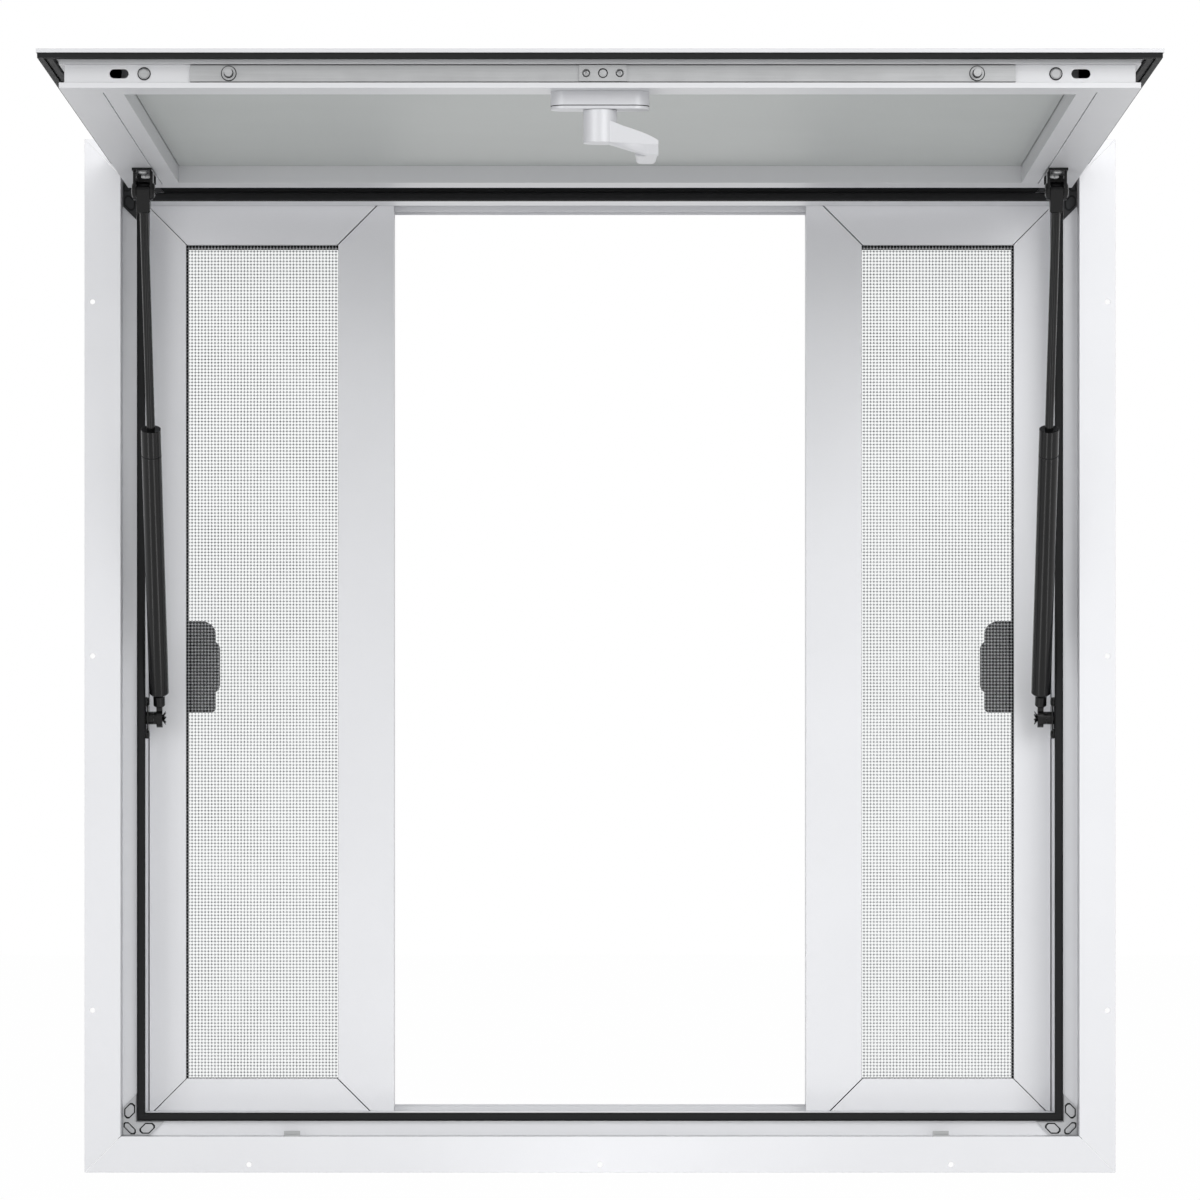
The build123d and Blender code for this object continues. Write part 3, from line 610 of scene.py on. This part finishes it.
def to_mesh(name, shape, smooth=False):
    mesh = bpy.data.meshes.new(name)
    shape.to_mesh(mesh)
    shape.free()
    if smooth:
        mesh.polygons.foreach_set("use_smooth", [True] * len(mesh.polygons))
        mesh.set_sharp_from_angle(angle=SHARP_ANGLE)
    return mesh


# Geometry Nodes

def geometry_tree(name, inputs):
    """An empty tree with named inputs, as (name, socket type) pairs, and its input node."""
    group = bpy.data.node_groups.new(name, "GeometryNodeTree")
    group.interface.new_socket("Geometry", in_out="OUTPUT", socket_type="NodeSocketGeometry")
    for label, kind in inputs:
        group.interface.new_socket(label, in_out="INPUT", socket_type=kind)
    tree = NodeTree(group)
    source = tree.nodes.new("NodeGroupInput")
    values = {label: Value(tree, source.outputs[label]) for label, _ in inputs}
    return group, tree, values


def close_tree(tree, geometry, material):
    """Realizes the instances, sets the finish and joins the result to the tree's output."""
    realized = tree.node("GeometryNodeRealizeInstances", inputs={"Geometry": geometry})
    finished = tree.node("GeometryNodeSetMaterial", inputs={"Geometry": realized, "Material": material})
    out = tree.nodes.new("NodeGroupOutput")
    tree.feed(out.inputs["Geometry"], finished)


def run_tree(name, group, settings, base_mesh=None):
    """The plain mesh that a tree makes with these input values."""
    holder = mesh_object(name + "_holder", base_mesh or bpy.data.meshes.new(name + "_base"))
    modifier = holder.modifiers.new("Nodes", "NODES")
    modifier.node_group = group
    for item in group.interface.items_tree:
        if item.in_out == "INPUT" and item.name in settings:
            modifier[item.identifier] = settings[item.name]
    bpy.context.view_layer.update()
    graph = bpy.context.evaluated_depsgraph_get()
    mesh = bpy.data.meshes.new_from_object(holder.evaluated_get(graph))
    mesh.name = name
    bpy.data.objects.remove(holder)
    return mesh


def screen_tree(material):
    """Thin strands both ways in the XZ plane, with a fused knuckle at every crossing."""
    floats = ("Pitch", "Strand Radius", "Knuckle")
    whole = ("Across", "Up", "Sides")
    inputs = [(label, "NodeSocketFloat") for label in floats] + [(label, "NodeSocketInt") for label in whole]
    group, tree, values = geometry_tree("Fused Screen", inputs)
    ring = tree.node("GeometryNodeCurvePrimitiveCircle", {"mode": "RADIUS"},
                     {"Resolution": values["Sides"], "Radius": values["Strand Radius"]})

    def step(axis, amount):
        return tree.node("ShaderNodeCombineXYZ", inputs={axis: amount})

    def row(axis, count):
        offset = step(axis, values["Pitch"])
        return tree.node("GeometryNodeMeshLine", inputs={"Count": count, "Offset": offset})

    def copies(points, shape):
        return tree.node("GeometryNodeInstanceOnPoints", inputs={"Points": points, "Instance": shape})

    def strands(along, reach, beside, count):
        end = step(along, (reach - 1.0) * values["Pitch"])
        line = tree.node("GeometryNodeCurvePrimitiveLine", inputs={"End": end})
        strand = tree.node("GeometryNodeCurveToMesh",
                           inputs={"Curve": line, "Profile Curve": ring, "Fill Caps": True})
        return copies(row(beside, count), strand)

    bead = tree.node("GeometryNodeMeshUVSphere",
                     inputs={"Segments": 4, "Rings": 2, "Radius": values["Knuckle"]})
    knuckles = copies(row("X", values["Across"]), copies(row("Z", values["Up"]), bead))
    join = tree.nodes.new("GeometryNodeJoinGeometry")
    for placed in (knuckles, strands("Z", values["Up"], "X", values["Across"]),
                   strands("X", values["Across"], "Z", values["Up"])):
        tree.links.new(placed.socket, join.inputs["Geometry"])
    close_tree(tree, Value(tree, join.outputs["Geometry"]), material)
    return group


def fastener_tree(material):
    """One copy of a head on every point, turned by a fixed random amount about the outward axis."""
    inputs = [("Points", "NodeSocketGeometry"), ("Head", "NodeSocketObject"),
              ("Facing", "NodeSocketRotation"), ("Seed", "NodeSocketInt")]
    group, tree, values = geometry_tree("Fasteners", inputs)
    head = tree.node("GeometryNodeObjectInfo", inputs={"Object": values["Head"]}, output="Geometry")
    spin = tree.node("FunctionNodeRandomValue", {"data_type": "FLOAT"},
                     {"Min": 0.0, "Max": math.tau, "Seed": values["Seed"]}, output=1)
    turn = tree.node("FunctionNodeAxisAngleToRotation", inputs={"Axis": (0.0, 0.0, 1.0), "Angle": spin})
    facing = tree.node("FunctionNodeRotateRotation", inputs={"Rotation": turn, "Rotate By": values["Facing"]})
    placed = tree.node("GeometryNodeInstanceOnPoints",
                       inputs={"Points": values["Points"], "Instance": head, "Rotation": facing})
    close_tree(tree, placed, material)
    return group


def fasteners(name, shape, points, outward, seed, material):
    """A mesh of equal heads at points, with their tops along `outward`."""
    head = mesh_object(name + "_head", to_mesh(name + "_head", shape, smooth=True))
    base = bpy.data.meshes.new(name + "_points")
    base.from_pydata([tuple(point) for point in points], [], [])
    facing = Vector((0, 0, 1)).rotation_difference(Vector(outward)).to_euler()
    group = fastener_tree(material)
    mesh = run_tree(name, group, {"Head": head, "Facing": facing, "Seed": seed}, base)
    bpy.data.objects.remove(head)
    return mesh


# Operators

class WINDOW_OT_coat_nodes(bpy.types.Operator):
    """Give every CAD node its finish"""

    bl_idname = "window.coat_nodes"
    bl_label = "Coat the CAD Nodes"

    def execute(self, context):
        materials = finishes()
        for name, node in frame["nodes"].items():
            matches = [prefix for prefix in NODE_FINISHES if name.startswith(prefix)]
            finish = NODE_FINISHES[max(matches, key=len)]
            node.data.materials.clear()
            node.data.materials.append(materials[finish])
        return {"FINISHED"}


class WINDOW_OT_fill_screens(bpy.types.Operator):
    """Make the insect screens, the dark ring of spline and painted shade behind them, and the strip of
    painted shade on the head ledge
    """

    bl_idname = "window.fill_screens"
    bl_label = "Fill the Screens"

    def execute(self, context):
        sizes = context.scene.window_sizes
        materials = finishes()
        group = screen_tree(materials["wire"])
        pitch = sizes.mesh_pitch
        for side in SIDES:
            node = f"outer_screen_{side}_mesh"
            low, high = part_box(node)
            extent = high - low
            across, up = (math.ceil(extent[axis] / pitch) + 1 for axis in (0, 2))
            settings = {"Pitch": pitch, "Strand Radius": sizes.wire_diameter / 2, "Across": across, "Up": up,
                        "Knuckle": sizes.knuckle_reach, "Sides": sizes.wire_sides}
            mesh = run_tree(f"woven_screen_{side}", group, settings)
            spread = Vector(((across - 1) * pitch, 0, (up - 1) * pitch))
            mesh.transform(Matrix.Translation((low + high - spread) / 2))
            piece = mesh_object(f"woven_screen_{side}", mesh)
            finish_piece(piece, "frame", materials["wire"], [node])
            finish_piece(self.spline_and_shade(side, low, high, sizes), "frame", materials["rubber"])
        finish_piece(self.head_shade_strip(sizes), "frame", materials["rubber"])
        return {"FINISHED"}

    def spline_and_shade(self, side, low, high, sizes):
        """A dark ring behind the strands: a thin spline round the screen's frame, widened at its head and at
        the jamb side into painted shade from the frame's recess.
        """
        front = high.y + sizes.knuckle_reach
        left, right = sizes.spline_width, sizes.spline_width
        if side == "left":
            left = sizes.shade_at_jamb
        else:
            right = sizes.shade_at_jamb
        outer = rectangle(low.x, high.x, low.z, high.z)
        inner = rectangle(low.x + left, high.x - right, low.z + sizes.spline_width, high.z - sizes.shade_at_head)
        shape = upright_rings([(outer, inner)], front, front + sizes.spline_and_shade_depth)
        return shape_object(f"screen_gasket_{side}", shape)

    def head_shade_strip(self, sizes):
        """A flat dark strip on the head ledge above the seal, as painted shade where the door shades the
        ledge, cut to the slanted ends of the upper keys.
        """
        low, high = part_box("frame_seal")
        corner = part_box("corner_keys")[1]
        below, above = corner.x - KEY_LONG_LEG, corner.x - KEY_SHORT_LEG
        top = high.z + sizes.head_shade_strip_height
        front = high.y - sizes.head_shade_strip_thickness
        outline = [(-below, high.z), (below, high.z), (above, top), (-above, top)]
        shape = extrude_outline(outline, front, high.y)
        edges = [edge for edge in shape.edges if all(v.co.y < high.y for v in edge.verts)]
        rounding = 0.4 * sizes.head_shade_strip_thickness
        bmesh.ops.bevel(shape, geom=edges, offset=rounding, segments=2, affect="EDGES")
        return shape_object("head_seal_base", shape)


class WINDOW_OT_fit_fasteners(bpy.types.Operator):
    """Fit the screws, plugs, pin heads, washers, and the dark lines and strips of painted shade"""

    bl_idname = "window.fit_fasteners"
    bl_label = "Fit the Fasteners"

    def execute(self, context):
        sizes = context.scene.window_sizes
        materials = finishes()
        self.block_screws(sizes, materials)
        self.pin_washers(sizes, materials)
        self.bar_groove_shade(sizes, materials)
        self.rail_plugs(sizes, materials)
        self.handle_groove_shade(sizes, materials)
        self.key_groove_shade(sizes, materials)
        self.bracket_screws(sizes, materials)
        self.pivot_heads(sizes, materials)
        for side in SIDES:
            self.star_washers(side, sizes, materials)
            self.gland_shade(side, sizes, materials)
        return {"FINISHED"}

    def fit(self, name, shape, points, outward, body, slot, material):
        mesh = fasteners(name, shape, points, outward, len(name), material)
        return finish_piece(mesh_object(name, mesh), body, material)

    def block_screws(self, sizes, materials):
        """Two screws sunk in the drive block's holes, and a button between them with a dark ring of painted
        shadow round it.
        """
        low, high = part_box("lock_drive_block")
        middle = (low + high) / 2
        floor = low.y + sizes.block_hole_depth
        points = [(middle.x + way * sizes.block_screw_pitch, floor, middle.z) for way in (-1, 1)]
        head = screw_head(sizes.screw_radius)
        self.fit("drive_block_screws", head, points, (0, -1, 0), "lock", "zinc_steel", materials["zinc"])
        radius = sizes.button_radius
        button = lathe([(0, 0), (radius, 0), (radius, 0.12 * radius), (0.85 * radius, 0.25 * radius),
                        (0, 0.3 * radius)], ROUND_SEGMENTS)
        centre = [(middle.x, low.y, middle.z)]
        self.fit("drive_block_button", button, centre, (0, -1, 0), "lock", "zinc_steel", materials["zinc"])
        # Painted shadow: a dark ring round the button
        line = flat_ring(0.95 * radius, radius + sizes.shadow_line, 0.08 * radius)
        self.fit("drive_block_button_line", line, centre, (0, -1, 0), "lock", "black_rubber",
                 materials["rubber"])

    def pin_washers(self, sizes, materials):
        """Washers round the lock pins, with painted shadow as dark lines inside and outside them."""
        low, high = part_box("lock_pins")
        radius = (high.z - low.z) / 2
        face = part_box("lock_bar")[0].y
        points = [(x, face, low.z + radius) for x in (low.x + radius, high.x - radius)]
        washer = flat_ring(sizes.washer_bore, sizes.washer_radius, sizes.washer_height)
        self.fit("lock_pin_washers", washer, points, (0, -1, 0), "lock", "zinc_steel", materials["zinc"])
        # Painted shadow: a dark ring that shows inside and outside each washer
        line = flat_ring(radius, sizes.washer_radius + sizes.shadow_line, 0.2 * sizes.washer_height)
        self.fit("lock_pin_lines", line, points, (0, -1, 0), "lock", "black_rubber", materials["rubber"])

    def bar_groove_shade(self, sizes, materials):
        """A dark strip on the back of the lock bar, as painted shade in its groove, as wide as the groove
        lets it be.
        """
        low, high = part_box("lock_bar")
        middle = (low.z + high.z) / 2
        half = BAR_GROOVE / 2 - sizes.bar_shade_gap
        outline = rectangle(low.x, high.x, middle - half, middle + half)
        shape = extrude_outline(outline, high.y, high.y + sizes.bar_shade_thickness)
        piece = shape_object("lock_bar_glide", shape)
        finish_piece(piece, "lock", materials["rubber"])

    def handle_groove_shade(self, sizes, materials):
        """Painted shade as a dark line above the lower rim of the handle's base, where a groove would be
        shaded.
        """
        low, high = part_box("handle_base")
        extent = high - low
        proud = 0.1 * MM
        start = low.z + sizes.rim_height
        around = (extent.x + 2 * proud, extent.y + 2 * proud)
        shape = slot_band(*around, start, start + sizes.rim_shade_width, 4 * proud)
        middle = (low + high) / 2
        bmesh.ops.translate(shape, vec=(middle.x, middle.y, 0), verts=shape.verts)
        piece = shape_object("handle_base_line", shape)
        finish_piece(piece, "door", materials["rubber"])

    def key_groove_shade(self, sizes, materials):
        """Painted shade filling the grooves of the corner keys."""
        low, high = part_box("corner_keys")
        pairs = []
        for x, right in ((low.x, 1), (high.x, -1)):
            for z, up in ((low.z, 1), (high.z, -1)):
                for points in key_outlines():
                    outer = [(x + right * a, z + up * b) for a, b in points]
                    middle = [sum(point[axis] for point in outer) / len(outer) for axis in (0, 1)]
                    inner = [tuple(c + (p - c) * (1 - sizes.key_shade_width) for p, c in zip(point, middle))
                             for point in outer]
                    pairs.append((outer, inner))
        shape = upright_rings(pairs, low.y - KEY_SHADE_PROUD, low.y + KEY_SHADE_DEPTH)
        piece = shape_object("corner_key_lines", shape)
        finish_piece(piece, "frame", materials["rubber"])

    def rail_plugs(self, sizes, materials):
        """Round plugs in the front rail's groove, with a dark ring of painted shade round each."""
        low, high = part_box("door_rail_front")
        bar_low, bar_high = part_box("lock_bar")
        radius = sizes.plug_radius
        height = 0.25 * radius
        shape = lathe([(0, 0), (radius, 0), (radius, 0.5 * height), (0.88 * radius, 0.6 * height),
                       (0.8 * radius, height), (0, height)], ROUND_SEGMENTS)
        z = (bar_low.z + bar_high.z) / 2
        points = [(low.x + sizes.plug_inset, bar_high.y, z), (high.x - sizes.plug_inset, bar_high.y, z)]
        self.fit("front_rail_plugs", shape, points, (0, -1, 0), "door", "zinc_steel", materials["zinc"])
        # Painted shade: a dark ring round each plug
        line = flat_ring(0.9 * radius, radius + sizes.plug_shade_width, 0.3 * height)
        self.fit("front_rail_plug_lines", line, points, (0, -1, 0), "door", "black_rubber",
                 materials["rubber"])

    def bracket_screws(self, sizes, materials):
        """Pan heads under the clevises' plates and on the foot brackets' tabs."""
        head = pan_head(sizes.pan_radius, sizes.pan_height)
        pivots = [joint_vector(f"{side}_rod_pivot", "pos_m") for side in SIDES]
        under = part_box("strut_clevises")[1].z - CLEVIS_PLATE
        points = [(pivot.x, pivot.y + along, under) for pivot in pivots for along in CLEVIS_SCREWS]
        self.fit("clevis_screws", head, points, (0, 0, -1), "door", "zinc_steel", materials["zinc"])
        low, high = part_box("strut_foot_brackets")
        middle = (low + high) / 2
        reach = (high.z - low.z) / 2 - TAB_SCREW_INSET
        for side, wall in (("left", low.x), ("right", high.x)):
            inward = 1 if side == "left" else -1
            points = [(wall + inward * TAB_THICKNESS, middle.y, middle.z + way * reach) for way in (-1, 1)]
            head = pan_head(sizes.pan_radius, sizes.pan_height)
            self.fit(f"foot_bracket_screws_{side}", head, points, (inward, 0, 0), "frame", "strut_black",
                     materials["strut paint"])

    def pivot_heads(self, sizes, materials):
        """The rounded heads of the struts' upper pins, outside the clevis ears."""
        low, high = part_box("strut_clevises")
        for side, edge, inward in (("left", low.x, 1), ("right", high.x, -1)):
            pivot = joint_vector(f"{side}_rod_pivot", "pos_m")
            inner_edge = 2 * pivot.x - edge
            for place, outward in ((edge, -inward), (inner_edge, inward)):
                head = pan_head(sizes.pivot_head_radius, sizes.pivot_head_height)
                name = f"strut_pin_{side}_{'outer' if outward == -inward else 'inner'}"
                self.fit(name, head, [(place, pivot.y, pivot.z)], (outward, 0, 0), "door", "strut_black",
                         materials["strut paint"])

    def star_washers(self, side, sizes, materials):
        """The toothed washer on the end of a strut's lower pin."""
        low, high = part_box("strut_foot_brackets")
        middle = (low + high) / 2
        inward = 1 if side == "left" else -1
        place = joint_vector(f"{side}_rod_pivot", "pos_m").x + inward * FOOT_BLADE / 2
        self.fit(f"strut_star_washer_{side}", star_washer(sizes.star_radius), [(place, middle.y, middle.z)],
                 (inward, 0, 0), f"strut_tube_{side}", "strut_black", materials["strut paint"])

    def gland_shade(self, side, sizes, materials):
        """Painted shade as a dark ring round a tube, where its gland ends."""
        along = joint_vector(f"{side}_tube_slide", "axis")
        place = joint_vector(f"{side}_rod_pivot", "pos_m") + along * GLAND_PLACE
        proud = 0.1 * sizes.gland_shade
        ring = flat_ring(0.95 * TUBE_RADIUS, TUBE_RADIUS + proud, sizes.gland_shade)
        self.fit(f"strut_gland_line_{side}", ring, [place], along, f"strut_tube_{side}", "strut_black",
                 materials["rubber"])


class WINDOW_OT_set_stage(bpy.types.Operator):
    """Set the floor, the lights and the camera"""

    bl_idname = "window.set_stage"
    bl_label = "Set the Stage"

    def execute(self, context):
        self.world(context)
        self.floor()
        self.lights()
        self.camera(context)
        context.scene.view_settings.view_transform = "Standard"
        return {"FINISHED"}

    def world(self, context):
        """Even sky light, and plain white where the camera, metal or glass sees it."""
        world = bpy.data.worlds.new("studio")
        world.use_nodes = True
        context.scene.world = world
        tree = NodeTree(world.node_tree)
        background = tree.nodes["Background"]
        background.inputs["Color"].default_value = WHITE
        strength = SKY_LIGHT + (SKY_SEEN - SKY_LIGHT) * self.seen_rays(tree)
        tree.feed(background.inputs["Strength"], strength)

    def seen_rays(self, tree):
        """1 for camera, glossy and transmission rays, and 0 for all others."""
        path = tree.nodes.new("ShaderNodeLightPath")
        seen = Value(tree, path.outputs["Is Camera Ray"])
        for name in ("Is Glossy Ray", "Is Transmission Ray"):
            seen = seen.math("MAXIMUM", seen, Value(tree, path.outputs[name]))
        return seen

    def floor(self):
        shape = bmesh.new()
        bmesh.ops.create_grid(shape, x_segments=1, y_segments=1, size=FLOOR_REACH)
        mesh = to_mesh("studio_floor", shape)
        mesh.transform(Matrix.Translation((0, 0, CAD_BOX[0][2] - FLOOR_DROP)))
        floor = mesh_object("studio_floor", mesh)
        material = bpy.data.materials.new("pale floor")
        material.use_nodes = True
        tree = NodeTree(material.node_tree)
        diffuse = tree.nodes["Principled BSDF"]
        diffuse.inputs["Base Color"].default_value = FLOOR_COLOUR
        diffuse.inputs["Roughness"].default_value = FLOOR_ROUGHNESS
        glow = tree.node("ShaderNodeEmission", inputs={"Color": WHITE, "Strength": 1.0})
        inputs = {0: FLOOR_GLOW * self.seen_rays(tree), 1: Value(tree, diffuse.outputs[0]), 2: glow}
        mixed = tree.node("ShaderNodeMixShader", inputs=inputs)
        tree.feed(tree.nodes["Material Output"].inputs["Surface"], mixed)
        mesh.materials.append(material)

    def lights(self):
        """Two softboxes, and three low strips in front that streak the struts."""
        low = CAD_BOX[0][2] - FLOOR_DROP + STRIP_LIFT
        lamps = [(name, place, SOFTBOX_AIM, SOFTBOX_SIZE, watts)
                 for name, (place, watts) in SOFTBOXES.items()]
        for x in STRIP_X:
            lamps.append((f"floor strip {x}", (x, STRIP_Y, low), (x, STRIP_Y, 1.0), STRIP_SIZE, STRIP_WATTS))
        for name, place, aim, size, watts in lamps:
            data = bpy.data.lights.new(name, "AREA")
            data.shape = "RECTANGLE"
            data.size, data.size_y = size
            data.energy = watts
            lamp = bpy.data.objects.new(name, data)
            lamp.location = place
            lamp.rotation_euler = (Vector(aim) - Vector(place)).to_track_quat("-Z", "Y").to_euler()
            bpy.context.scene.collection.objects.link(lamp)

    def camera(self, context):
        """Far off and level with the lower part of the screens, with its picture shifted up."""
        data = bpy.data.cameras.new("photo camera")
        data.sensor_width = CAMERA_SENSOR
        data.lens = CAMERA_LENS
        data.shift_y = CAMERA_SHIFT
        data.clip_end = CAMERA_CLIP_END
        camera = bpy.data.objects.new("photo camera", data)
        camera.location = CAMERA_PLACE
        camera.rotation_euler = (math.pi / 2, 0, 0)
        context.scene.collection.objects.link(camera)
        context.scene.camera = camera


STEPS = (WINDOW_OT_coat_nodes, WINDOW_OT_fill_screens, WINDOW_OT_fit_fasteners, WINDOW_OT_set_stage)


class WINDOW_PT_dresser(bpy.types.Panel):
    """Lists the steps and their sizes and colours"""

    bl_idname = "WINDOW_PT_dresser"
    bl_label = "Concession Window"
    bl_space_type = "VIEW_3D"
    bl_region_type = "UI"
    bl_category = "Window"

    def draw(self, context):
        for step in STEPS:
            self.layout.operator(step.bl_idname)
        for group in (context.scene.window_sizes, context.scene.window_colours):
            for name in group.__annotations__:
                self.layout.prop(group, name)


CLASSES = (WindowSizes, WindowColours, *STEPS, WINDOW_PT_dresser)


def register():
    for kind in CLASSES:
        bpy.utils.register_class(kind)
    bpy.types.Scene.window_sizes = PointerProperty(type=WindowSizes)
    bpy.types.Scene.window_colours = PointerProperty(type=WindowColours)


def unregister():
    del bpy.types.Scene.window_colours
    del bpy.types.Scene.window_sizes
    for kind in reversed(CLASSES):
        bpy.utils.unregister_class(kind)


def main():
    register()
    for step in STEPS:
        group, name = step.bl_idname.split(".")
        getattr(getattr(bpy.ops, group), name)()


if __name__ == "__main__":
    main()
